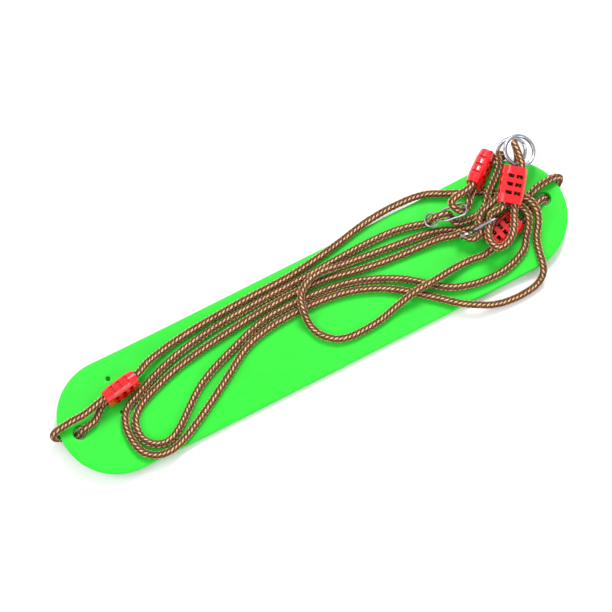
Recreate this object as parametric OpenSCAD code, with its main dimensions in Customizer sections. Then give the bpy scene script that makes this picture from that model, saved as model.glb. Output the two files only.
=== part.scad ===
// Flexible strip swing seat with two knotless ropes, clamp sleeves, hanging rings and wire adjusters.
// Millimetres. Origin: centre of the seat's underside. +X runs along the seat, +Z is up.

/* [Seat] */
// Overall length of the strip seat
seat_length = 670; // [620:1:760]
// Overall width of the strip seat
seat_width = 140; // [120:1:170]
// Thickness of the foam strip
seat_thickness = 8; // [6:0.5:10]
// Distance from the seat's end to the middle of its rope hole
hole_inset = 23; // [18:1:30]
// Diameter of the rope hole
hole_diameter = 16; // [14:0.5:20]
// Diameter of the small vent holes
vent_diameter = 5; // [3:0.5:7]
// Half of the seat's length that lies flat on the floor
flat_half = 130; // [100:5:160]
// Radius of the gentle upward bend of the seat's ends
bend_radius = 1460; // [1300:10:2000]

/* [Rope] */
// Diameter of the braided rope
rope_diameter = 9.5; // [8:0.5:10]
// Sides of the rope's plain solid
rope_sides = 8; // [8:1:12]
// Longest step between two rings of the rope's solid
rope_step = 30; // [24:1:40]

/* [Sleeves] */
// Length of a clamp sleeve
sleeve_length = 45; // [40:1:54]
// Width of a sleeve across its two bores, at its middle
sleeve_width = 32; // [28:0.5:34]
// Thickness of a sleeve at its middle
sleeve_height = 19.5; // [16:0.5:22]
// How much narrower and thinner a sleeve is at its ends
sleeve_taper = 3; // [0:0.25:4]
// Distance between the middles of a sleeve's two bores
bore_spacing = 15; // [12:0.5:17]
// Gap between the rope and a sleeve's bore
bore_gap = 0.1; // [0.05:0.05:0.4]
// Width of a grip window, along the sleeve
window_width = 4.5; // [3:0.25:5.5]
// Number of grip windows along the sleeve
window_count = 3; // [2:1:3]
// Width of the rib between the two rows of windows
window_rib = 2.5; // [2:0.25:4]

/* [Rings] */
// Outer diameter of a hanging ring
ring_diameter = 42; // [38:1:46]
// Diameter of the ring's wire
ring_wire = 5; // [4:0.25:6]

/* [Adjusters] */
// Inner diameter of the round eye
eye_inner = 13; // [11.5:0.5:15]
// Wire diameter of an adjuster
adjuster_wire = 3; // [2.5:0.25:3.5]
// Length of the slot, from the eye's middle to the middle of the closed end
slot_length = 38; // [34:1:42]
// Inner width of the slot
slot_inner = 11; // [10:0.25:12]

/* [Hidden] */

$fn = 64;
rope_radius = rope_diameter / 2;
bore_radius = rope_radius + bore_gap;
bore_offset = bore_spacing / 2;
ring_radius = (ring_diameter - ring_wire) / 2;
eye_radius = (eye_inner + adjuster_wire) / 2;
slot_radius = (slot_inner + adjuster_wire) / 2;
neck_half = adjuster_wire / 2 + 0.2;
neck_bend = 3;
end_gap = 20;
wire_sides = 12;
neck_angle = asin((neck_half + neck_bend) / (eye_radius + neck_bend));
neck_x = (eye_radius + neck_bend) * cos(neck_angle);
shoulder_bend = 8;
shoulder_angle = acos((neck_half + neck_bend - slot_radius + shoulder_bend) / (neck_bend + shoulder_bend));
shoulder_x = neck_x + (neck_bend + shoulder_bend) * sin(shoulder_angle);
end_inset = seat_length / 2 - hole_inset;
vent_places = [[-254, 44], [-256, 0], [254, 44], [256, 0]];
tall = 80;
sliver = 1;

// Places of the hardware: middle, turn about Z, pitch (nose down is positive), roll.
seat_sleeve_left_place = [[-246, 23.5, 28.8], 11, 4.5, 80];
seat_sleeve_right_place = [[248, -13, 23.1], 15, -4.5, 0];
ring_sleeve_a_place = [[257.5, 63.5, 34], 38, 8, 75];
ring_sleeve_b_place = [[278.5, 25.5, 53.5], 53, -4, 10];
ring_a_place = [[302, 67, 27.7], -27, -30, 0];
ring_b_place = [[308, 61, 47], -27, 15, 0];
adjuster_a_place = [[178, 38, 24.2], -12, -20, 0];
adjuster_b_place = [[205, 2, 24], -3, -26, 90];
bight_radius = ring_wire / 2 + rope_radius + 0.8;

// A point in the sleeve's bore: the place, which bore (-1 or 1), and how far along the sleeve.
function turned(place, v) =
    let(rolled = [v[0], v[1] * cos(place[3]) - v[2] * sin(place[3]), v[1] * sin(place[3]) + v[2] * cos(place[3])],
        pitched = [rolled[0] * cos(place[2]) + rolled[2] * sin(place[2]), rolled[1],
                   rolled[2] * cos(place[2]) - rolled[0] * sin(place[2])])
    [pitched[0] * cos(place[1]) - pitched[1] * sin(place[1]),
     pitched[0] * sin(place[1]) + pitched[1] * cos(place[1]), pitched[2]];
function in_bore(place, bore, along) = place[0] + turned(place, [along, bore * bore_offset, 0]);

// The run through a sleeve from one end to the other, straight a little past both ends.
function through_sleeve(place, bore, direction) =
    [for (along = [-1.22, -1.02, 1.02, 1.22]) in_bore(place, bore, direction * along * sleeve_length / 2)];
// The rope's end, held inside a sleeve and leaving it on one side.
function from_sleeve(place, bore, direction) =
    [for (along = [-0.85, 1.02, 1.22]) in_bore(place, bore, direction * along * sleeve_length / 2)];
function into_sleeve(place, bore, direction) =
    [for (along = [-1.22, -1.02, 0.85]) in_bore(place, bore, direction * along * sleeve_length / 2)];

// Points given in an adjuster's own frame: along it, across it, and above its plane.
function by_adjuster(place, points) = [for (p = points) place[0] + turned(place, p)];

// A bend of rope round a ring's wire at one angle of the ring: 0 is above the ring, 90 inside it, 180 below.
function round_wire(place, angle, turns) =
    let(spoke = [cos(angle), sin(angle), 0])
    [for (turn = turns)
        place[0] + turned(place, ring_radius * spoke + bight_radius * (cos(turn) * [0, 0, 1] - sin(turn) * spoke))];

// Route of the left rope: its loop through the seat, its lay, then its ring and adjuster.
left_seat_loop = concat(
    from_sleeve(seat_sleeve_left_place, -1, -1),
    [[-290, 4, 24.5], [-304, 1, 25.5], [-311, 0, 20], [-312, 0, 12], [-316, 1, 7], [-324, 3, 5.2], [-333, 6, 6],
     [-340, 8, 12], [-342, 10, 20], [-337, 12, 29], [-320, 14, 33], [-296, 15, 35]],
    through_sleeve(seat_sleeve_left_place, 1, 1));
left_lay = [
    [-205, 38, 25], [-185, 44, 17], [-150, 50, 13.5], [-75, 55, 13], [0, 57, 13],
    [60, 65, 13], [110, 74, 13.2], [150, 76, 13.5], [185, 72, 15], [215, 58, 16.3],
    [245, 44, 17.6], [268, 29, 21], [278, 20, 30], [287, 11, 37], [293, 0, 38.5], [294, -12, 37], [290, -24, 31.5],
    [281, -38, 23.5], [276, -54, 20.5], [273, -68, 21], [269, -79, 15.5], [257, -87, 7], [236, -90, 5.2], [214, -89, 6],
    [196, -85, 9], [182, -79, 13.8], [164, -68, 14.2], [140, -47, 13], [95, -12, 13], [60, 4, 13], [20, 12, 13],
    [-50, 12, 13], [-88, 3, 13], [-126, -19, 13], [-169, -44, 13.6], [-205, -62, 15], [-224, -67.5, 16.2],
    [-241, -66, 17.3], [-256, -54, 18.8], [-261, -30, 19.2], [-258, -12, 18.9], [-249, 1, 18], [-232, 9, 16.7],
    [-205, 21, 15], [-174, 31, 13.8], [-125, 40, 13], [-60, 45, 13], [0, 46.5, 13], [100, 50, 13]];
left_hardware = concat(
    [[135, 48, 13]],
    by_adjuster(adjuster_a_place, [[-24, 1, -2.5], [-14, 0, -6.4], [-5, 0, -6.2], [0, 0, 0], [5, 0, 6.3], [12, 0, 8],
        [18.5, 0, 5.5], [21.5, 0, 0], [22.5, -3, -6.2], [25, -10, -9]]),
    [[218, 19, 20.5], [233, 18.5, 22], [244, 24, 26], [256, 37, 29], [269, 48, 29], [280, 58, 28.5], [285, 67, 28]],
    round_wire(ring_a_place, 185, [25, 60, 90, 135, 180, 215]),
    [[281.5, 78.5, 13.5]],
    through_sleeve(ring_sleeve_a_place, -1, -1),
    by_adjuster(adjuster_a_place, [[50, 9, -6], [46, 3, -8], [40, 0, -6.8], [36, 0, 0], [33.5, 2.5, 6.5], [32, 10, 11]]),
    into_sleeve(ring_sleeve_a_place, 1, 1));

// Route of the right rope, in the same order.
right_seat_loop = concat(
    from_sleeve(seat_sleeve_right_place, 1, 1),
    [[290, 8, 25], [306, 14, 28], [322, 16, 30], [334, 16, 29], [341, 14, 20], [339, 11, 11],
     [332, 8, 5.7], [323, 4, 5.2], [316, 1, 7], [312, 0, 12], [311, 0, 20], [304, -1, 25.5], [290, -6, 25]],
    through_sleeve(seat_sleeve_right_place, -1, -1));
right_lay = [
    [213, -28, 17], [200, -26, 15.5], [178, -26, 18], [150, -29, 24], [120, -31, 24.5],
    [95, -35, 17], [60, -42, 13], [16, -40, 13], [-4, -24, 13], [-10, -8, 14], [-10, 8, 22.5],
    [-5, 26, 24.5], [10, 38, 24.5], [30, 42, 23], [55, 39.5, 17.5], [110, 34, 13], [180, 24, 14.5],
    [205, 13, 15], [228, 7, 16.2], [248, 9, 21], [262, 14, 29.5], [272, 8, 35.5], [280, 0, 37], [282, -12, 36.5],
    [278, -22, 32], [270, -32, 25.5], [262, -43, 19.5], [240, -53, 17], [210, -56, 15.2], [165, -46, 13.5],
    [112, -7, 13], [60, 15.5, 13], [0, 23.5, 13], [-55, 22.5, 13], [-100, 10, 13], [-156, -12, 13.3],
    [-203, -47, 15], [-216, -54.5, 15.7], [-229, -56, 16.5], [-242, -50, 17.6], [-250, -36, 18.1], [-247, -17, 17.8],
    [-236, -5, 16.9], [-222, 2.5, 16]];
right_hardware = concat(
    [[-200, 10.5, 14.8], [-166, 20, 13.5], [-60, 33.5, 13], [0, 35.5, 13], [35, 33, 13], [70, 26, 13], [110, 20, 13],
     [150, 17, 13.5], [180, 14, 16]],
    by_adjuster(adjuster_b_place, [[-13, 0, -7], [-5, 0, -6.2], [0, 0, 0], [5, 0, 6.3], [12, 0, 8], [18.5, 0, 5.5],
        [21.5, 0, 0], [22.5, 0, -7]]),
    [[234, 16, 34.5], [250, 20.5, 36], [270, 28, 38], [287, 36, 39.5]],
    round_wire(ring_b_place, 265, [180]),
    [[303, 55, 41], [306, 64, 43], [307, 71, 48], [305, 69, 54], [304, 60, 56]],
    through_sleeve(ring_sleeve_b_place, -1, -1),
    [[263, -10, 47], [255, -23, 43], [244, -31, 39.5], [231, -31, 38], [226, -20, 39], [229, -9, 40]],
    by_adjuster(adjuster_b_place, [[35.5, 0, 0], [40, 1, -7]]),
    into_sleeve(ring_sleeve_b_place, 1, 1));

left_route = concat(left_seat_loop, left_lay, left_hardware);
right_route = concat(right_seat_loop, right_lay, right_hardware);

// One point of a smooth curve through p1 and p2, at t from 0 to 1; knots follow the chord lengths.
function blend2(a, b, ta, tb, t) = ((tb - t) * a + (t - ta) * b) / (tb - ta);
function curve_point(p0, p1, p2, p3, t) =
    let(t1 = sqrt(norm(p1 - p0)),
        t2 = t1 + sqrt(norm(p2 - p1)),
        t3 = t2 + sqrt(norm(p3 - p2)),
        u = t1 + (t2 - t1) * t,
        a1 = blend2(p0, p1, 0, t1, u),
        a2 = blend2(p1, p2, t1, t2, u),
        a3 = blend2(p2, p3, t2, t3, u),
        b1 = blend2(a1, a2, 0, t2, u),
        b2 = blend2(a2, a3, t1, t3, u))
    blend2(b1, b2, t1, t2, u);

// The route's own points, with equal steps of at most the given length between them.
function smooth_route(points, step) =
    let(last = len(points) - 1,
        before = 2 * points[0] - points[1],
        after = 2 * points[last] - points[last - 1],
        all = concat([before], points, [after]))
    concat(
        [for (i = [1 : last])
            let(count = max(1, round(norm(all[i + 1] - all[i]) / step)))
            for (j = [0 : count - 1])
                curve_point(all[i - 1], all[i], all[i + 1], all[i + 2], j / count)],
        [points[last]]);

function unit(v) = v / norm(v);
function tangent(points, i) =
    unit(points[min(i + 1, len(points) - 1)] - points[max(i - 1, 0)]);

// Directions square to the route, carried along it without twist.
function carried(points) =
    [for (i = 0, t = tangent(points, 0), n = unit(cross(t, [1, 1, 3]));
          i < len(points);
          i = i + 1,
          t = i < len(points) ? tangent(points, i) : t,
          n = unit(n - (n * t) * t)) n];

// A closed tube along a line of points, as one polyhedron.
module tube(points, radius, sides) {
    normals = carried(points);
    rows = len(points);
    corners = [for (i = [0 : rows - 1])
        let(side = cross(tangent(points, i), normals[i]))
        for (k = [0 : sides - 1])
            points[i] + radius * (cos(360 * k / sides) * normals[i] + sin(360 * k / sides) * side)];
    start_cap = [[for (k = [0 : sides - 1]) k]];
    end_cap = [[for (k = [0 : sides - 1]) rows * sides - 1 - k]];
    walls = [for (i = [0 : rows - 2], k = [0 : sides - 1])
        [i * sides + k, (i + 1) * sides + k, (i + 1) * sides + (k + 1) % sides, i * sides + (k + 1) % sides]];
    polyhedron(points = corners, faces = concat(start_cap, walls, end_cap), convexity = 10);
}

// Puts a piece at its place: its middle, its turn about Z, its pitch and its roll.
module at(place) {
    translate(place[0]) rotate([0, 0, place[1]]) rotate([0, place[2], 0]) rotate([place[3], 0, 0]) children();
}

// Side view of the strip: flat in the middle, gently bent up towards both ends.
module strip_profile() {
    translate([-flat_half, 0]) square([2 * flat_half, seat_thickness]);
    for (side = [0, 1]) mirror([side, 0])
        intersection() {
            translate([flat_half, bend_radius]) difference() {
                circle(bend_radius, $fn = 360);
                circle(bend_radius - seat_thickness, $fn = 360);
            }
            translate([flat_half, 0]) square([seat_length, tall]);
        }
}

// Outline of the seat from above: a strip with round ends.
module seat_outline() {
    reach = (seat_length - seat_width) / 2;
    square([2 * reach, seat_width], center = true);
    for (side = [-1, 1]) translate([side * reach, 0]) circle(d = seat_width);
}

module seat() {
    color("limegreen") difference() {
        intersection() {
            linear_extrude(tall) seat_outline();
            rotate([90, 0, 0]) linear_extrude(seat_width + 2, center = true) strip_profile();
        }
        for (side = [-1, 1])
            translate([side * end_inset, 0, -sliver]) cylinder(d = hole_diameter, h = tall);
        for (place = vent_places)
            translate([place[0], place[1], -sliver]) cylinder(d = vent_diameter, h = tall);
    }
}

module rope_left() {
    color("sienna") tube(smooth_route(left_route, rope_step), rope_radius, rope_sides);
}

module rope_right() {
    color("sienna") tube(smooth_route(right_route, rope_step), rope_radius, rope_sides);
}

// The sleeve's outer barrel along X, broad across Y.
module sleeve_barrel() {
    hull() for (end = [-1, 1], stage = [0, 1]) {
        height = sleeve_height - stage * sleeve_taper;
        width = sleeve_width - stage * sleeve_taper;
        along = stage == 0 ? sleeve_length / 4 : (sleeve_length - sliver) / 2;
        for (side = [-1, 1])
            translate([end * along, side * (width - height) / 2, 0])
                rotate([0, 90, 0]) cylinder(d = height, h = sliver, center = true, $fn = 32);
    }
}

// One of a sleeve's two snap-together halves; the upper one has z above zero.
module sleeve_half(upper) {
    pitch = sleeve_length / (window_count + 1.4);
    color("red") rotate([upper ? 0 : 180, 0, 0]) difference() {
        intersection() {
            sleeve_barrel();
            translate([-sleeve_length, -sleeve_width, 0.02]) cube([2 * sleeve_length, 2 * sleeve_width, tall]);
        }
        for (side = [-1, 1])
            translate([0, side * bore_offset, 0]) rotate([0, 90, 0])
                cylinder(r = bore_radius, h = sleeve_length + 2, center = true);
        for (i = [0 : window_count - 1]) {
            x = (i - (window_count - 1) / 2) * pitch;
            for (side = [-1, 1])
                translate([x, side * (window_rib / 2 + sleeve_width / 8), 0])
                    cube([window_width, sleeve_width / 4, tall], center = true);
            for (side = [-1, 1])
                translate([x, side * sleeve_width / 2, 0])
                    cube([window_width, sleeve_width / 5, sleeve_height / 2], center = true);
        }
    }
}

// A closed ring of round wire, lying in its own XY plane.
module wire_ring() {
    color("silver") rotate_extrude() translate([ring_radius, 0]) circle(d = ring_wire, $fn = 32);
}

// Points along an arc about a middle, in the XY plane.
function arc(middle, radius, from, to, count) =
    [for (i = [0 : count])
        let(turn = from + (to - from) * i / count)
        [middle[0] + radius * cos(turn), middle[1] + radius * sin(turn), 0]];

// The adjuster's one wire: round the open eye, through the neck, down the slot and back, in the XY plane.
function adjuster_route() =
    let(low_neck = [neck_x, -neck_half - neck_bend],
        low_shoulder = [shoulder_x, shoulder_bend - slot_radius],
        high_neck = [neck_x, neck_half + neck_bend],
        high_shoulder = [shoulder_x, slot_radius - shoulder_bend])
    concat(
        arc([0, 0], eye_radius, neck_angle + end_gap, 358 - neck_angle, 28),
        arc(low_neck, neck_bend, 178 - neck_angle, 92 - shoulder_angle, 6),
        arc(low_shoulder, shoulder_bend, -92 - shoulder_angle, -90, 5),
        arc([slot_length, 0], slot_radius, -90, 90, 12),
        arc(high_shoulder, shoulder_bend, 90, 92 + shoulder_angle, 5),
        arc(high_neck, neck_bend, 268 + shoulder_angle, 190 + neck_angle, 6));

module wire_adjuster() {
    color("silver") tube(adjuster_route(), adjuster_wire / 2, wire_sides);
}

module seat_sleeve_left_upper() { at(seat_sleeve_left_place) sleeve_half(true); }
module seat_sleeve_left_lower() { at(seat_sleeve_left_place) sleeve_half(false); }
module seat_sleeve_right_upper() { at(seat_sleeve_right_place) sleeve_half(true); }
module seat_sleeve_right_lower() { at(seat_sleeve_right_place) sleeve_half(false); }
module ring_sleeve_a_upper() { at(ring_sleeve_a_place) sleeve_half(true); }
module ring_sleeve_a_lower() { at(ring_sleeve_a_place) sleeve_half(false); }
module ring_sleeve_b_upper() { at(ring_sleeve_b_place) sleeve_half(true); }
module ring_sleeve_b_lower() { at(ring_sleeve_b_place) sleeve_half(false); }
module ring_a() { at(ring_a_place) wire_ring(); }
module ring_b() { at(ring_b_place) wire_ring(); }
module adjuster_a() { at(adjuster_a_place) wire_adjuster(); }
module adjuster_b() { at(adjuster_b_place) wire_adjuster(); }

seat();
rope_left();
rope_right();
seat_sleeve_left_upper();
seat_sleeve_left_lower();
seat_sleeve_right_upper();
seat_sleeve_right_lower();
ring_sleeve_a_upper();
ring_sleeve_a_lower();
ring_sleeve_b_upper();
ring_sleeve_b_lower();
ring_a();
ring_b();
adjuster_a();
adjuster_b();
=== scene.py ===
"""Dresses the strip swing seat on its CAD frame: braided ropes, foam strip, steel and red sleeves."""
import logging
import math
from dataclasses import dataclass, field
from enum import Enum
from typing import Sequence

import bmesh
import bpy
import numpy as np
from mathutils import Matrix, Vector


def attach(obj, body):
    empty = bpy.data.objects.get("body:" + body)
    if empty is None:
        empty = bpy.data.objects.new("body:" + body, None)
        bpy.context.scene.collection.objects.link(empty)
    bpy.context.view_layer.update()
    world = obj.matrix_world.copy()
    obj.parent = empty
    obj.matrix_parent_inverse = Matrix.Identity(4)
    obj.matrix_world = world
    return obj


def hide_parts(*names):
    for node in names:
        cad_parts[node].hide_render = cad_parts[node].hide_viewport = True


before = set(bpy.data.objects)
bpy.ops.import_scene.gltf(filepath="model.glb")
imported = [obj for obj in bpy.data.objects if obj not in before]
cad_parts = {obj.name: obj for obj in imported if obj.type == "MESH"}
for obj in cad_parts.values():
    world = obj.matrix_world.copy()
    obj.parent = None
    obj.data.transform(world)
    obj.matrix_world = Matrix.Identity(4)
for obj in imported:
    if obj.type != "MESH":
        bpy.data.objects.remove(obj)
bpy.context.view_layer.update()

LOG = logging.getLogger("swing_seat")
MM = 0.001
ROOT_BODY = "seat_and_ropes"
NOISE_LOW, NOISE_HIGH = 0.3, 0.7  # where nearly all of a noise texture's values lie
SAMPLES_PER_SPAN = 24  # fine steps between two points of a route


class Slot(Enum):
    """Names of the finish slots."""

    SEAT = "seat_foam"
    ROPE = "rope"
    SLEEVE = "sleeve_plastic"
    STEEL = "plated_steel"


# --------------------------------------------------------------------------- places and routes


@dataclass(frozen=True)
class Place:
    """Where a piece of hardware sits: its middle in mm, then its turn, pitch and roll in degrees."""

    middle: tuple[float, float, float]
    turn: float
    pitch: float
    roll: float

    def point(self, local: Sequence[float]) -> Vector:
        """Carry a local point to the seat's frame.

        Args:
            local: Point in the hardware's own frame, in mm.

        Returns:
            The same point in the seat's frame, in mm.
        """
        matrix = (Matrix.Translation(self.middle) @ Matrix.Rotation(math.radians(self.turn), 4, "Z")
                  @ Matrix.Rotation(math.radians(self.pitch), 4, "Y")
                  @ Matrix.Rotation(math.radians(self.roll), 4, "X"))
        return matrix @ Vector(local)

    def points(self, locals_: Sequence[Sequence[float]]) -> list[Vector]:
        """Carry several local points to the seat's frame.

        Args:
            locals_: Points in the hardware's own frame, in mm.

        Returns:
            The points in the seat's frame, in mm.
        """
        return [self.point(local) for local in locals_]


@dataclass(frozen=True)
class SleevePlace(Place):
    """A two-bore rope sleeve's place."""

    half_length: float = 22.5
    bore_offset: float = 7.5

    def run(self, bore: int, direction: int, alongs: Sequence[float]) -> list[Vector]:
        """Points along one bore.

        Args:
            bore: Which bore, -1 or 1.
            direction: Which way the rope runs along the sleeve, -1 or 1.
            alongs: Distances from the middle, as parts of the half length.

        Returns:
            Points on the bore's axis, in mm.
        """
        return [self.point((direction * along * self.half_length, bore * self.bore_offset, 0))
                for along in alongs]

    def through(self, bore: int, direction: int) -> list[Vector]:
        """The run from one end of the sleeve to the other.

        Args:
            bore: Which bore, -1 or 1.
            direction: Which way the rope runs, -1 or 1.

        Returns:
            Points on the bore's axis, in mm.
        """
        return self.run(bore, direction, (-1.22, -1.02, 1.02, 1.22))

    def leaving(self, bore: int, direction: int) -> list[Vector]:
        """The run of a rope whose end is held in the sleeve and which leaves it on one side.

        Args:
            bore: Which bore, -1 or 1.
            direction: Which way the rope runs, -1 or 1.

        Returns:
            Points on the bore's axis, in mm.
        """
        return self.run(bore, direction, (-0.85, 1.02, 1.22))

    def entering(self, bore: int, direction: int) -> list[Vector]:
        """The run of a rope that ends inside the sleeve.

        Args:
            bore: Which bore, -1 or 1.
            direction: Which way the rope runs, -1 or 1.

        Returns:
            Points on the bore's axis, in mm.
        """
        return self.run(bore, direction, (-1.22, -1.02, 0.85))


@dataclass(frozen=True)
class RingPlace(Place):
    """A hanging ring's place."""

    ring_radius: float = 18.5
    bight_radius: float = 8.05

    def round_wire(self, angle: float, turns: Sequence[float]) -> list[Vector]:
        """A bend of rope round the ring's wire.

        Args:
            angle: Where on the ring, in degrees.
            turns: Angles round the wire, in degrees: 0 above, 90 inside, 180 below.

        Returns:
            Points on the rope's axis, in mm.
        """
        spoke = Vector((math.cos(math.radians(angle)), math.sin(math.radians(angle)), 0))
        points = []
        for turn in turns:
            across = Vector((0, 0, math.cos(math.radians(turn)))) - spoke * math.sin(math.radians(turn))
            points.append(self.point(spoke * self.ring_radius + across * self.bight_radius))
        return points


SEAT_SLEEVE_LEFT = SleevePlace((-246, 23.5, 28.8), 11, 4.5, 80)
SEAT_SLEEVE_RIGHT = SleevePlace((248, -13, 23.1), 15, -4.5, 0)
RING_SLEEVE_A = SleevePlace((257.5, 63.5, 34), 38, 8, 75)
RING_SLEEVE_B = SleevePlace((278.5, 25.5, 53.5), 53, -4, 10)
RING_A = RingPlace((302, 67, 27.7), -27, -30, 0)
RING_B = RingPlace((308, 61, 47), -27, 15, 0)
ADJUSTER_A = Place((178, 38, 24.2), -12, -20, 0)
ADJUSTER_B = Place((205, 2, 24), -3, -26, 90)


def left_route() -> list[Vector]:
    """Route of the left rope: its loop through the seat, its lay, then its ring and adjuster, in mm."""
    loop = (SEAT_SLEEVE_LEFT.leaving(-1, -1)
            + [(-290, 4, 24.5), (-304, 1, 25.5), (-311, 0, 20), (-312, 0, 12), (-316, 1, 7), (-324, 3, 5.2),
               (-333, 6, 6), (-340, 8, 12), (-342, 10, 20), (-337, 12, 29), (-320, 14, 33), (-296, 15, 35)]
            + SEAT_SLEEVE_LEFT.through(1, 1))
    lay = [(-205, 38, 25), (-185, 44, 17), (-150, 50, 13.5), (-75, 55, 13), (0, 57, 13),
           (60, 65, 13), (110, 74, 13.2), (150, 76, 13.5), (185, 72, 15), (215, 58, 16.3),
           (245, 44, 17.6), (268, 29, 21), (278, 20, 30), (287, 11, 37), (293, 0, 38.5), (294, -12, 37),
           (290, -24, 31.5), (281, -38, 23.5), (276, -54, 20.5), (273, -68, 21), (269, -79, 15.5),
           (257, -87, 7),
           (236, -90, 5.2), (214, -89, 6), (196, -85, 9), (182, -79, 13.8), (164, -68, 14.2), (140, -47, 13),
           (95, -12, 13), (60, 4, 13), (20, 12, 13), (-50, 12, 13), (-88, 3, 13), (-126, -19, 13),
           (-169, -44, 13.6), (-205, -62, 15), (-224, -67.5, 16.2), (-241, -66, 17.3), (-256, -54, 18.8),
           (-261, -30, 19.2), (-258, -12, 18.9), (-249, 1, 18), (-232, 9, 16.7), (-205, 21, 15),
           (-174, 31, 13.8),
           (-125, 40, 13), (-60, 45, 13), (0, 46.5, 13), (100, 50, 13)]
    hardware = ([(135, 48, 13)]
                + ADJUSTER_A.points([(-24, 1, -2.5), (-14, 0, -6.4), (-5, 0, -6.2), (0, 0, 0), (5, 0, 6.3),
                                     (12, 0, 8), (18.5, 0, 5.5), (21.5, 0, 0), (22.5, -3, -6.2),
                                     (25, -10, -9)])
                + [(218, 19, 20.5), (233, 18.5, 22), (244, 24, 26), (256, 37, 29), (269, 48, 29),
                   (280, 58, 28.5), (285, 67, 28)]
                + RING_A.round_wire(185, (25, 60, 90, 135, 180, 215))
                + [(281.5, 78.5, 13.5)]
                + RING_SLEEVE_A.through(-1, -1)
                + ADJUSTER_A.points([(50, 9, -6), (46, 3, -8), (40, 0, -6.8), (36, 0, 0), (33.5, 2.5, 6.5),
                                     (32, 10, 11)])
                + RING_SLEEVE_A.entering(1, 1))
    return [Vector(point) for point in loop + lay + hardware]


def right_route() -> list[Vector]:
    """Route of the right rope, in the same order as the left one, in mm."""
    loop = (SEAT_SLEEVE_RIGHT.leaving(1, 1)
            + [(290, 8, 25), (306, 14, 28), (322, 16, 30), (334, 16, 29), (341, 14, 20), (339, 11, 11),
               (332, 8, 5.7), (323, 4, 5.2), (316, 1, 7), (312, 0, 12), (311, 0, 20), (304, -1, 25.5),
               (290, -6, 25)]
            + SEAT_SLEEVE_RIGHT.through(-1, -1))
    lay = [(213, -28, 17), (200, -26, 15.5), (178, -26, 18), (150, -29, 24), (120, -31, 24.5),
           (95, -35, 17), (60, -42, 13), (16, -40, 13), (-4, -24, 13), (-10, -8, 14), (-10, 8, 22.5),
           (-5, 26, 24.5), (10, 38, 24.5), (30, 42, 23), (55, 39.5, 17.5), (110, 34, 13), (180, 24, 14.5),
           (205, 13, 15), (228, 7, 16.2), (248, 9, 21), (262, 14, 29.5), (272, 8, 35.5), (280, 0, 37),
           (282, -12, 36.5), (278, -22, 32), (270, -32, 25.5), (262, -43, 19.5), (240, -53, 17),
           (210, -56, 15.2), (165, -46, 13.5), (112, -7, 13), (60, 15.5, 13), (0, 23.5, 13), (-55, 22.5, 13),
           (-100, 10, 13), (-156, -12, 13.3), (-203, -47, 15), (-216, -54.5, 15.7), (-229, -56, 16.5),
           (-242, -50, 17.6), (-250, -36, 18.1), (-247, -17, 17.8), (-236, -5, 16.9), (-222, 2.5, 16)]
    hardware = ([(-200, 10.5, 14.8), (-166, 20, 13.5), (-60, 33.5, 13), (0, 35.5, 13), (35, 33, 13),
                 (70, 26, 13), (110, 20, 13), (150, 17, 13.5), (180, 14, 16)]
                + ADJUSTER_B.points([(-13, 0, -7), (-5, 0, -6.2), (0, 0, 0), (5, 0, 6.3), (12, 0, 8),
                                     (18.5, 0, 5.5), (21.5, 0, 0), (22.5, 0, -7)])
                + [(234, 16, 34.5), (250, 20.5, 36), (270, 28, 38), (287, 36, 39.5)]
                + RING_B.round_wire(265, (180,))
                + [(303, 55, 41), (306, 64, 43), (307, 71, 48), (305, 69, 54), (304, 60, 56)]
                + RING_SLEEVE_B.through(-1, -1)
                + [(263, -10, 47), (255, -23, 43), (244, -31, 39.5), (231, -31, 38), (226, -20, 39),
                   (229, -9, 40)]
                + ADJUSTER_B.points([(35.5, 0, 0), (40, 1, -7)])
                + RING_SLEEVE_B.entering(1, 1))
    return [Vector(point) for point in loop + lay + hardware]


def smooth_route(points: Sequence[Vector], step: float) -> np.ndarray:
    """A smooth curve through the route's points, resampled evenly.

    Args:
        points: The route's own points.
        step: Distance between two samples, same unit as the points.

    Returns:
        The samples, one row each.
    """
    knots = [2 * points[0] - points[1], *points, 2 * points[-1] - points[-2]]
    dense: list[np.ndarray] = []
    for i in range(1, len(knots) - 2):
        p = [np.array(knots[i + k], dtype=float) for k in (-1, 0, 1, 2)]
        t = [0.0]
        for k in range(3):
            t.append(t[-1] + math.sqrt(np.linalg.norm(p[k + 1] - p[k])))
        for share in np.linspace(0, 1, SAMPLES_PER_SPAN + 1)[:-1]:
            u = t[1] + (t[2] - t[1]) * share
            a = [((t[k + 1] - u) * p[k] + (u - t[k]) * p[k + 1]) / (t[k + 1] - t[k]) for k in range(3)]
            b = [((t[k + 2] - u) * a[k] + (u - t[k]) * a[k + 1]) / (t[k + 2] - t[k]) for k in range(2)]
            dense.append(((t[2] - u) * b[0] + (u - t[1]) * b[1]) / (t[2] - t[1]))
    dense.append(np.array(points[-1], dtype=float))
    line = np.array(dense)
    lengths = np.concatenate([[0], np.cumsum(np.linalg.norm(np.diff(line, axis=0), axis=1))])
    count = max(2, round(lengths[-1] / step) + 1)
    stations = np.linspace(0, lengths[-1], count)
    return np.column_stack([np.interp(stations, lengths, line[:, axis]) for axis in range(3)])


def route_length(line: np.ndarray) -> float:
    """Length of a line of points.

    Args:
        line: Points of the line, one row each.

    Returns:
        Its length, in the points' own unit.
    """
    return float(np.linalg.norm(np.diff(line, axis=0), axis=1).sum())


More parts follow.
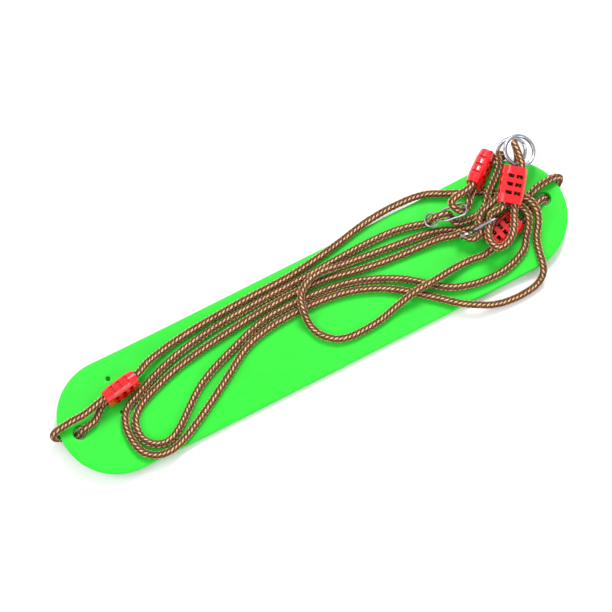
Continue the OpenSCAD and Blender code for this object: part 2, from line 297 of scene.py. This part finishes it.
def carried_frames(line: np.ndarray) -> tuple[np.ndarray, np.ndarray]:
    """Two directions square to a line, carried along it without twist.

    Args:
        line: Points of the line.

    Returns:
        The first and the second direction at every point.
    """
    ahead = np.gradient(line, axis=0)
    ahead /= np.linalg.norm(ahead, axis=1)[:, None]
    first = np.empty_like(line)
    normal = np.cross(ahead[0], (0.3, 0.3, 0.9))
    for i, tangent in enumerate(ahead):
        normal = normal - tangent * float(normal @ tangent)
        normal /= np.linalg.norm(normal)
        first[i] = normal
    return first, np.cross(ahead, first)


# --------------------------------------------------------------------------- materials


class Nodes:
    """Short way of writing a node material."""

    def __init__(self, name: str) -> None:
        self.material = bpy.data.materials.new(name)
        self.material.use_nodes = True
        self.tree = self.material.node_tree
        self.shader = self.tree.nodes["Principled BSDF"]

    def add(self, kind: str, **settings: object) -> bpy.types.Node:
        """Add a node.

        Args:
            kind: Node type, such as "ShaderNodeTexNoise".
            settings: Attributes of the node, or values of its inputs by name with underscores for spaces.

        Returns:
            The new node.
        """
        made = self.tree.nodes.new(kind)
        for key, value in settings.items():
            label = key.replace("_", " ")
            if hasattr(made, key):
                setattr(made, key, value)
            else:
                made.inputs[label].default_value = value
        return made

    def link(self, source: bpy.types.NodeSocket, target: bpy.types.NodeSocket) -> None:
        """Link two sockets.

        Args:
            source: Output socket.
            target: Input socket.
        """
        self.tree.links.new(source, target)

    def noise(self, scale: float, detail: float = 3.0) -> bpy.types.NodeSocket:
        """Noise in object coordinates.

        Args:
            scale: How fine the noise is.
            detail: How many finer layers it has.

        Returns:
            Its value socket.
        """
        where = self.add("ShaderNodeTexCoord")
        made = self.add("ShaderNodeTexNoise", Scale=scale, Detail=detail)
        self.link(where.outputs["Object"], made.inputs["Vector"])
        return made.outputs[0]

    def ramp(self, value: bpy.types.NodeSocket,
             stops: Sequence[tuple[float, tuple[float, float, float]]]) -> bpy.types.NodeSocket:
        """Colour ramp of a value.

        Args:
            value: Socket that drives the ramp.
            stops: Positions with their colours, in rising order.

        Returns:
            Its colour socket.
        """
        made = self.add("ShaderNodeValToRGB")
        self.link(value, made.inputs[0])
        elements = made.color_ramp.elements
        elements[0].position, elements[0].color = stops[0][0], (*stops[0][1], 1)
        elements[1].position, elements[1].color = stops[-1][0], (*stops[-1][1], 1)
        for position, colour in stops[1:-1]:
            elements.new(position).color = (*colour, 1)
        return made.outputs[0]

    def span(self, value: bpy.types.NodeSocket, low: float, high: float) -> bpy.types.NodeSocket:
        """Spread a noise value over a range.

        Args:
            value: Noise socket.
            low: Result at the noise's usual low.
            high: Result at the noise's usual high.

        Returns:
            The result socket.
        """
        made = self.add("ShaderNodeMapRange")
        self.link(value, made.inputs["Value"])
        for name, number in (("From Min", NOISE_LOW), ("From Max", NOISE_HIGH), ("To Min", low), ("To Max", high)):
            made.inputs[name].default_value = number
        return made.outputs["Result"]

    def bump(self, height: bpy.types.NodeSocket, distance: float, strength: float) -> None:
        """Bump the surface.

        Args:
            height: Socket that gives the height.
            distance: Height of the bumps, in metres.
            strength: How strongly they shade, from 0 to 1.
        """
        made = self.add("ShaderNodeBump", Distance=distance, Strength=strength)
        self.link(height, made.inputs["Height"])
        self.link(made.outputs["Normal"], self.shader.inputs["Normal"])


@dataclass(frozen=True)
class RopeFinish:
    """Brown fibre, with painted shade where a yarn dives under its neighbours.

    Args:
        dark: Painted shade colour of the gaps and dips between the yarns.
        brown: Colour of the fibre.
        tan: Colour of the light flecks.
        speckle: How much the noise adds to the tone.
        settle: Taken off the tone, so that noise and tone together stay between 0 and 1.
        roughness: Roughness of the fibre.
    """

    dark: tuple[float, float, float] = (0.020, 0.006, 0.002)
    brown: tuple[float, float, float] = (0.130, 0.046, 0.014)
    tan: tuple[float, float, float] = (0.720, 0.420, 0.190)
    speckle: float = 0.8
    settle: float = 0.48
    roughness: float = 0.72

    def make(self) -> bpy.types.Material:
        """Build the material."""
        nodes = Nodes("braided_fibre")
        tone = nodes.add("ShaderNodeAttribute", attribute_name="tone")
        mix = nodes.add("ShaderNodeMath", operation="MULTIPLY_ADD")
        nodes.link(nodes.noise(330, 3), mix.inputs[0])
        mix.inputs[1].default_value = self.speckle
        shifted = nodes.add("ShaderNodeMath", operation="SUBTRACT")
        nodes.link(tone.outputs["Fac"], shifted.inputs[0])
        shifted.inputs[1].default_value = self.settle
        nodes.link(shifted.outputs[0], mix.inputs[2])
        # The dark stop is painted shade for the gaps and dips between the yarns; brown and tan are the yarns' own
        # colours.
        colour = nodes.ramp(mix.outputs[0], [(0.05, self.dark), (0.40, self.brown), (0.52, self.brown),
                                            (0.78, self.tan)])
        nodes.link(colour, nodes.shader.inputs["Base Color"])
        nodes.shader.inputs["Roughness"].default_value = self.roughness
        nodes.bump(nodes.noise(2600, 2), 0.0003, 0.7)
        return nodes.material


@dataclass(frozen=True)
class FoamFinish:
    """Satin green closed-cell foam with a fine grain and soft scuffs."""

    green: tuple[float, float, float] = (0.000, 0.640, 0.010)
    deep: tuple[float, float, float] = (0.000, 0.560, 0.006)

    def make(self) -> bpy.types.Material:
        """Build the material."""
        nodes = Nodes("green_foam")
        nodes.link(nodes.ramp(nodes.noise(14, 4), [(0.35, self.deep), (0.65, self.green)]),
                   nodes.shader.inputs["Base Color"])
        nodes.link(nodes.span(nodes.noise(60, 4), 0.42, 0.58), nodes.shader.inputs["Roughness"])
        nodes.bump(nodes.noise(1500, 3), 0.00012, 0.35)
        return nodes.material


@dataclass(frozen=True)
class PlasticFinish:
    """Glossy red moulded plastic with a faint flow ripple."""

    red: tuple[float, float, float] = (0.700, 0.000, 0.006)
    deep: tuple[float, float, float] = (0.560, 0.000, 0.004)

    def make(self) -> bpy.types.Material:
        """Build the material."""
        nodes = Nodes("red_plastic")
        nodes.link(nodes.ramp(nodes.noise(40, 2), [(0.3, self.deep), (0.7, self.red)]),
                   nodes.shader.inputs["Base Color"])
        nodes.link(nodes.span(nodes.noise(220, 3), 0.16, 0.27), nodes.shader.inputs["Roughness"])
        nodes.shader.inputs["Coat Weight"].default_value = 0.4
        nodes.shader.inputs["Coat Roughness"].default_value = 0.08
        nodes.bump(nodes.noise(300, 2), 0.00008, 0.25)
        return nodes.material


@dataclass(frozen=True)
class SteelFinish:
    """Bright plated steel, a little uneven."""

    bright: tuple[float, float, float] = (0.500, 0.520, 0.580)
    dull: tuple[float, float, float] = (0.360, 0.375, 0.430)

    def make(self) -> bpy.types.Material:
        """Build the material."""
        nodes = Nodes("plated_steel")
        nodes.link(nodes.ramp(nodes.noise(90, 4), [(0.3, self.dull), (0.7, self.bright)]),
                   nodes.shader.inputs["Base Color"])
        nodes.shader.inputs["Metallic"].default_value = 1.0
        nodes.link(nodes.span(nodes.noise(350, 4), 0.14, 0.28), nodes.shader.inputs["Roughness"])
        nodes.bump(nodes.noise(700, 3), 0.00005, 0.2)
        return nodes.material


# --------------------------------------------------------------------------- geometry helpers


def mesh_object(name: str, mesh: bpy.types.Mesh) -> bpy.types.Object:
    """Link a mesh to the scene as an object at the origin.

    Args:
        name: Name of the object.
        mesh: Its mesh.

    Returns:
        The new object.
    """
    made = bpy.data.objects.new(name, mesh)
    bpy.context.scene.collection.objects.link(made)
    return made


class StrandNodes:
    """Geometry Nodes that sweep a round profile along the edges of a mesh."""

    def __init__(self) -> None:
        tree = bpy.data.node_groups.new("strand_sweep", "GeometryNodeTree")
        face = tree.interface
        face.new_socket("Geometry", in_out="INPUT", socket_type="NodeSocketGeometry")
        self.radius = face.new_socket("Strand Radius", in_out="INPUT", socket_type="NodeSocketFloat").identifier
        self.sides = face.new_socket("Sides", in_out="INPUT", socket_type="NodeSocketInt").identifier
        self.finish = face.new_socket("Finish", in_out="INPUT", socket_type="NodeSocketMaterial").identifier
        face.new_socket("Geometry", in_out="OUTPUT", socket_type="NodeSocketGeometry")
        enter, leave = tree.nodes.new("NodeGroupInput"), tree.nodes.new("NodeGroupOutput")
        lines = tree.nodes.new("GeometryNodeMeshToCurve")
        profile = tree.nodes.new("GeometryNodeCurvePrimitiveCircle")
        sweep = tree.nodes.new("GeometryNodeCurveToMesh")
        sweep.inputs["Fill Caps"].default_value = True
        shade = tree.nodes.new("GeometryNodeSetShadeSmooth")
        realize = tree.nodes.new("GeometryNodeRealizeInstances")
        paint = tree.nodes.new("GeometryNodeSetMaterial")
        link = tree.links.new
        link(enter.outputs["Geometry"], lines.inputs[0])
        link(enter.outputs["Strand Radius"], profile.inputs["Radius"])
        link(enter.outputs["Sides"], profile.inputs["Resolution"])
        link(lines.outputs[0], sweep.inputs["Curve"])
        link(profile.outputs[0], sweep.inputs["Profile Curve"])
        link(sweep.outputs[0], shade.inputs["Geometry"])
        link(shade.outputs[0], realize.inputs[0])
        link(realize.outputs[0], paint.inputs["Geometry"])
        link(enter.outputs["Finish"], paint.inputs["Material"])
        link(paint.outputs[0], leave.inputs[0])
        self.tree = tree

    def sweep(self, lines: bpy.types.Object, radius: float, sides: int, finish: bpy.types.Material
              ) -> bpy.types.Mesh:
        """Sweep the profile along an object's edges and hand back a plain mesh.

        Args:
            lines: Object whose edges are the strands' axes.
            radius: Radius of the profile, in metres.
            sides: Number of sides of the profile.
            finish: Material of the result.

        Returns:
            The realized mesh, with the lines' attributes carried over.
        """
        modifier = lines.modifiers.new("sweep", "NODES")
        modifier.node_group = self.tree
        modifier[self.radius], modifier[self.sides], modifier[self.finish] = radius, sides, finish
        lines.update_tag()
        depsgraph = bpy.context.evaluated_depsgraph_get()
        depsgraph.update()
        made = bpy.data.meshes.new_from_object(lines.evaluated_get(depsgraph), preserve_all_data_layers=True,
                                               depsgraph=depsgraph)
        lines.modifiers.remove(modifier)
        return made


# --------------------------------------------------------------------------- sub-assemblies


@dataclass
class BraidedRope:
    """One braided rope, from its seat sleeve to its ring and adjuster.

    Args:
        name: Name of the piece.
        node: CAD node it replaces.
        route: Points of its axis, in mm.
        rests_on: CAD nodes the rope's ends are held by; not used.
        yarns: Number of yarns; half of them wind each way.
        pitch: Length of one full turn of a yarn.
        lay_radius: Mean distance of a yarn's axis from the rope's.
        lift: How far a yarn rises over, and dips under, the others.
        yarn_radius: Radius of a yarn.
        core_radius: Radius of the core, whose dark colour is painted shade seen between the yarns.
        sides: Sides of a yarn.
        core_sides: Sides of the core.
        step: Distance between two rings of a yarn.
        dark_tone: Half of the tone that a dark yarn reaches at its crown.
        light_tone: Half of the tone that a light yarn reaches at its crown.

    All lengths are in mm.
    """

    name: str
    node: str
    route: list[Vector]
    rests_on: tuple[str, ...]
    yarns: int = 16
    pitch: float = 44.0
    lay_radius: float = 3.25
    lift: float = 0.36
    yarn_radius: float = 1.14
    core_radius: float = 3.0
    sides: int = 5
    core_sides: int = 10
    step: float = 2.1
    dark_tone: float = 0.26
    light_tone: float = 0.48
    line: np.ndarray = field(init=False)

    def __post_init__(self) -> None:
        self.line = smooth_route(self.route, self.step)

    def strand_lines(self) -> bpy.types.Object:
        """Axes of all yarns, each over two and under two.

        Returns:
            An object of plain edges, with the tone of every point: the yarn's own colour, with painted shade where
            it dips under the others.
        """
        first, second = carried_frames(self.line)
        along = np.arange(len(self.line)) * route_length(self.line) / (len(self.line) - 1)
        corners: list[tuple[float, float, float]] = []
        edges: list[tuple[int, int]] = []
        tones_with_dip_shade: list[float] = []
        half = self.yarns // 2
        crossings = 2 * half * along / self.pitch
        for number in range(self.yarns):
            way, place = (1, number) if number < half else (-1, number - half)
            turn = way * 2 * math.pi * along / self.pitch + 2 * math.pi * place / half
            wave = way * np.cos(math.pi / 2 * (way * crossings + 2 * place) - math.pi / 4)
            reach = (self.lay_radius + self.lift * wave)[:, None]
            points = self.line + reach * (np.cos(turn)[:, None] * first + np.sin(turn)[:, None] * second)
            base = len(corners)
            corners.extend(map(tuple, points * MM))
            tone = self.dark_tone if way > 0 else self.light_tone
            # The tone falls where the yarn dips under the others: painted shade over the yarn's own dark or light
            # colour.
            tones_with_dip_shade.extend((tone + tone * wave).tolist())
            edges.extend((base + i, base + i + 1) for i in range(len(points) - 1))
        mesh = bpy.data.meshes.new(self.name + "_lines")
        mesh.from_pydata(corners, edges, [])
        mesh.attributes.new("tone", "FLOAT", "POINT").data.foreach_set("value", tones_with_dip_shade)
        return mesh_object(self.name + "_lines", mesh)

    def core_lines(self) -> bpy.types.Object:
        """Axis of the core, whose dark colour is painted shade seen between the yarns.

        Returns:
            An object of plain edges, with a tone of zero.
        """
        points = self.line[::2] if len(self.line) % 2 else np.vstack([self.line[::2], self.line[-1:]])
        mesh = bpy.data.meshes.new(self.name + "_core")
        mesh.from_pydata((points * MM).tolist(), [(i, i + 1) for i in range(len(points) - 1)], [])
        # A tone of zero gives the core the painted gap shade.
        mesh.attributes.new("tone", "FLOAT", "POINT").data.foreach_set("value", [0.0] * len(points))
        return mesh_object(self.name + "_core", mesh)

    def build(self, nodes: StrandNodes, finish: bpy.types.Material) -> bpy.types.Object:
        """Build the rope and hand it over.

        Args:
            nodes: The sweep used for every strand.
            finish: Material of the rope.

        Returns:
            The rope's object.
        """
        work = bmesh.new()
        for lines, radius, sides in ((self.strand_lines(), self.yarn_radius * MM, self.sides),
                                     (self.core_lines(), self.core_radius * MM, self.core_sides)):
            made = nodes.sweep(lines, radius, sides, finish)
            work.from_mesh(made)
            source = lines.data
            bpy.data.objects.remove(lines)
            bpy.data.meshes.remove(source)
            bpy.data.meshes.remove(made)
        bmesh.ops.recalc_face_normals(work, faces=work.faces)
        mesh = bpy.data.meshes.new(self.name)
        work.to_mesh(mesh)
        work.free()
        mesh.materials.append(finish)
        mesh.polygons.foreach_set("use_smooth", [True] * len(mesh.polygons))
        rope = mesh_object(self.name, mesh)
        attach(rope, ROOT_BODY)
        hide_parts(self.node)
        return rope


@dataclass
class StripSeat:
    """The soft foam strip with round ends, two rope holes and four vents.

    Args:
        length: Overall length.
        width: Overall width.
        thickness: Thickness of the foam.
        hole_x: Distance of the rope holes from the middle.
        hole_diameter: Diameter of the rope holes.
        vent_diameter: Diameter of the vents.
        vents: Middles of the vents.
        edge: Radius of the rims.
        flat_half: Half of the length that lies flat.
        bend_radius: Radius of the bend towards both ends.
        cut_spacing: Distance between two cuts that let the strip bend.
        cut_offset: Where the first cut lies, from the end.
        ripple: Height of the surface's faint waves.

    All sizes are in mm.
    """

    length: float = 670
    width: float = 140
    thickness: float = 8
    hole_x: float = 312
    hole_diameter: float = 16
    vent_diameter: float = 5
    vents: tuple[tuple[float, float], ...] = ((-254, 44), (-256, 0), (254, 44), (256, 0))
    edge: float = 1.6
    flat_half: float = 130
    bend_radius: float = 1460
    cut_spacing: int = 14
    cut_offset: int = 11
    ripple: float = 0.12

    def outlines(self) -> list[list[tuple[float, float]]]:
        """The strip's outline and its holes.

        Returns:
            Closed loops seen from above, in mm.
        """
        reach, radius = (self.length - self.width) / 2, self.width / 2
        outline = []
        for side, start in ((1, -90), (-1, 90)):
            for i in range(49):
                angle = math.radians(start + 180 * i / 48)
                outline.append((side * reach + radius * math.cos(angle), radius * math.sin(angle)))
        loops = [outline]
        holes = [((side * self.hole_x, 0), self.hole_diameter / 2, 40) for side in (-1, 1)]
        holes += [(vent, self.vent_diameter / 2, 24) for vent in self.vents]
        for (x, y), hole_radius, count in holes:
            loops.append([(x + hole_radius * math.cos(2 * math.pi * i / count),
                           y - hole_radius * math.sin(2 * math.pi * i / count)) for i in range(count)])
        return loops

    def flat_mesh(self) -> bpy.types.Mesh:
        """The strip before it is bent, with rounded rims.

        Returns:
            Its mesh, in metres, with its middle plane at zero.
        """
        curve = bpy.data.curves.new("strip_outline", "CURVE")
        curve.dimensions, curve.fill_mode = "2D", "BOTH"
        for loop in self.outlines():
            spline = curve.splines.new("POLY")
            spline.points.add(len(loop) - 1)
            for point, (x, y) in zip(spline.points, loop):
                point.co = (x * MM, y * MM, 0, 1)
            spline.use_cyclic_u = True
        curve.extrude = (self.thickness / 2 - self.edge) * MM
        curve.bevel_depth, curve.bevel_resolution, curve.offset = self.edge * MM, 3, -self.edge * MM
        source = bpy.data.objects.new("strip_outline", curve)
        bpy.context.scene.collection.objects.link(source)
        depsgraph = bpy.context.evaluated_depsgraph_get()
        mesh = bpy.data.meshes.new_from_object(source.evaluated_get(depsgraph), depsgraph=depsgraph)
        bpy.data.objects.remove(source)
        bpy.data.curves.remove(curve)
        return mesh

    def lift(self, x: float) -> float:
        """How far the strip's underside is raised.

        Args:
            x: Distance along the strip from its middle, in mm.

        Returns:
            The rise, in mm.
        """
        past = max(0.0, abs(x) - self.flat_half)
        return self.bend_radius - math.sqrt(self.bend_radius ** 2 - past ** 2)

    def build(self, finish: bpy.types.Material) -> bpy.types.Object:
        """Build the strip and hand it over.

        Args:
            finish: Material of the strip.

        Returns:
            The strip's object.
        """
        mesh = self.flat_mesh()
        work = bmesh.new()
        work.from_mesh(mesh)
        bmesh.ops.remove_doubles(work, verts=work.verts, dist=1e-6)
        for axis, reach in ((0, int(self.length / 2)), (1, int(self.width / 2))):
            for cut in range(-reach + self.cut_offset, reach, self.cut_spacing):
                place, normal = Vector((0, 0, 0)), Vector((0, 0, 0))
                place[axis], normal[axis] = (cut + 0.37) * MM, 1
                bmesh.ops.bisect_plane(work, geom=work.verts[:] + work.edges[:] + work.faces[:], dist=1e-7,
                                       plane_co=place, plane_no=normal)
        for corner in work.verts:
            x, y = corner.co.x / MM, corner.co.y / MM
            top = min(1.0, corner.co.z / MM / (self.thickness / 2) + 1)
            ripple = self.ripple * math.sin(x / 37 + 1.3) * math.cos(y / 29 + 0.4) * top
            corner.co.z += (self.thickness / 2 + self.lift(x) + max(0.0, ripple)) * MM
        bmesh.ops.recalc_face_normals(work, faces=work.faces)
        mesh.clear_geometry()
        work.to_mesh(mesh)
        work.free()
        mesh.name = "foam_strip"
        mesh.materials.clear()
        mesh.materials.append(finish)
        mesh.polygons.foreach_set("use_smooth", [True] * len(mesh.polygons))
        strip = mesh_object("foam_strip", mesh)
        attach(strip, ROOT_BODY)
        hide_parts("seat")
        return strip


@dataclass(frozen=True)
class Hardware:
    """CAD pieces that are shown as they are, with a finish.

    Args:
        slot: Finish slot of the pieces.
        nodes: Names of the CAD nodes.
    """

    slot: Slot
    nodes: tuple[str, ...]

    def dress(self, finish: bpy.types.Material) -> None:
        """Give every node the finish.

        Args:
            finish: Material of the nodes.
        """
        for name in self.nodes:
            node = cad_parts[name]
            node.data.materials.clear()
            node.data.materials.append(finish)


@dataclass(frozen=True)
class SoftLight:
    """A soft area light, in metres and watts."""

    name: str
    place: tuple[float, float, float]
    target: tuple[float, float, float]
    size: float
    power: float

    def build(self) -> bpy.types.Object:
        """Add the light, aimed at its target."""
        data = bpy.data.lights.new(self.name, "AREA")
        data.shape, data.size, data.energy = "SQUARE", self.size, self.power
        light = bpy.data.objects.new(self.name, data)
        light.location = self.place
        aim = Vector(self.target) - Vector(self.place)
        light.rotation_euler = aim.to_track_quat("-Z", "Y").to_euler()
        bpy.context.scene.collection.objects.link(light)
        return light


@dataclass
class Studio:
    """Camera, pale floor and soft lights."""

    eye: tuple[float, float, float] = (-0.23971, -0.44455, 2.60067)
    gaze: tuple[float, float, float] = (0.08946, 0.17414, -0.98065)
    lens: float = 129.41
    floor_half: float = 12.0

    def camera(self) -> None:
        """Place the camera."""
        data = bpy.data.cameras.new("camera")
        data.lens, data.sensor_width, data.clip_end = self.lens, 36, 100
        made = bpy.data.objects.new("camera", data)
        made.location = self.eye
        made.rotation_euler = Vector(self.gaze).to_track_quat("-Z", "Y").to_euler()
        bpy.context.scene.collection.objects.link(made)
        bpy.context.scene.camera = made
        bpy.context.scene.view_settings.view_transform = "Standard"

    def surroundings(self) -> None:
        """Add the floor, the world and the lights."""
        nodes = Nodes("pale_floor")
        nodes.shader.inputs["Base Color"].default_value = (0.9, 0.9, 0.9, 1)
        nodes.shader.inputs["Roughness"].default_value = 0.9
        half = self.floor_half
        mesh = bpy.data.meshes.new("floor")
        mesh.from_pydata([(-half, -half, -0.0005), (half, -half, -0.0005), (half, half, -0.0005),
                          (-half, half, -0.0005)], [], [(0, 1, 2, 3)])
        mesh.materials.append(nodes.material)
        floor = mesh_object("floor", mesh)
        world = bpy.data.worlds.new("pale_room")
        world.use_nodes = True
        world.node_tree.nodes["Background"].inputs["Color"].default_value = (1, 1, 1, 1)
        world.node_tree.nodes["Background"].inputs["Strength"].default_value = 0.8
        bpy.context.scene.world = world
        lights = [SoftLight("key", (0.9, 1.1, 1.7), (0, 0, 0), 0.7, 42),
                  SoftLight("fill", (-1.3, 0.5, 1.5), (0, 0, 0), 1.2, 14),
                  SoftLight("rim", (0.2, -1.4, 0.9), (0, 0, 0), 0.7, 6)]
        [light.build() for light in lights]


def main() -> None:
    """Build every sub-assembly in order."""
    studio = Studio()
    studio.camera()
    rope_finish, foam, plastic, steel = (RopeFinish().make(), FoamFinish().make(), PlasticFinish().make(),
                                         SteelFinish().make())
    strands = StrandNodes()
    for rope in (
            BraidedRope("braided_rope_left", "rope_left", left_route(),
                        ("seat_sleeve_left_upper", "seat_sleeve_left_lower", "ring_sleeve_a_upper",
                         "ring_sleeve_a_lower", "ring_a", "adjuster_a")),
            BraidedRope("braided_rope_right", "rope_right", right_route(),
                        ("seat_sleeve_right_upper", "seat_sleeve_right_lower", "ring_sleeve_b_upper",
                         "ring_sleeve_b_lower", "ring_b", "adjuster_b"))):
        made = rope.build(strands, rope_finish)
        LOG.info("%s: %.3f m, %d faces", made.name, route_length(rope.line) * MM, len(made.data.polygons))
    strip = StripSeat().build(foam)
    LOG.info("%s: %d faces", strip.name, len(strip.data.polygons))
    sleeves = Hardware(Slot.SLEEVE, ("seat_sleeve_left_upper", "seat_sleeve_left_lower",
                                     "seat_sleeve_right_upper", "seat_sleeve_right_lower",
                                     "ring_sleeve_a_upper", "ring_sleeve_a_lower",
                                     "ring_sleeve_b_upper", "ring_sleeve_b_lower"))
    wire = Hardware(Slot.STEEL, ("ring_a", "ring_b", "adjuster_a", "adjuster_b"))
    for hardware, finish in ((sleeves, plastic), (wire, steel)):
        hardware.dress(finish)
        LOG.info("%s: %s", hardware.slot.value, ", ".join(hardware.nodes))
    studio.surroundings()


if __name__ == "__main__":
    logging.basicConfig(level=logging.INFO, format="%(name)s %(message)s")
    main()
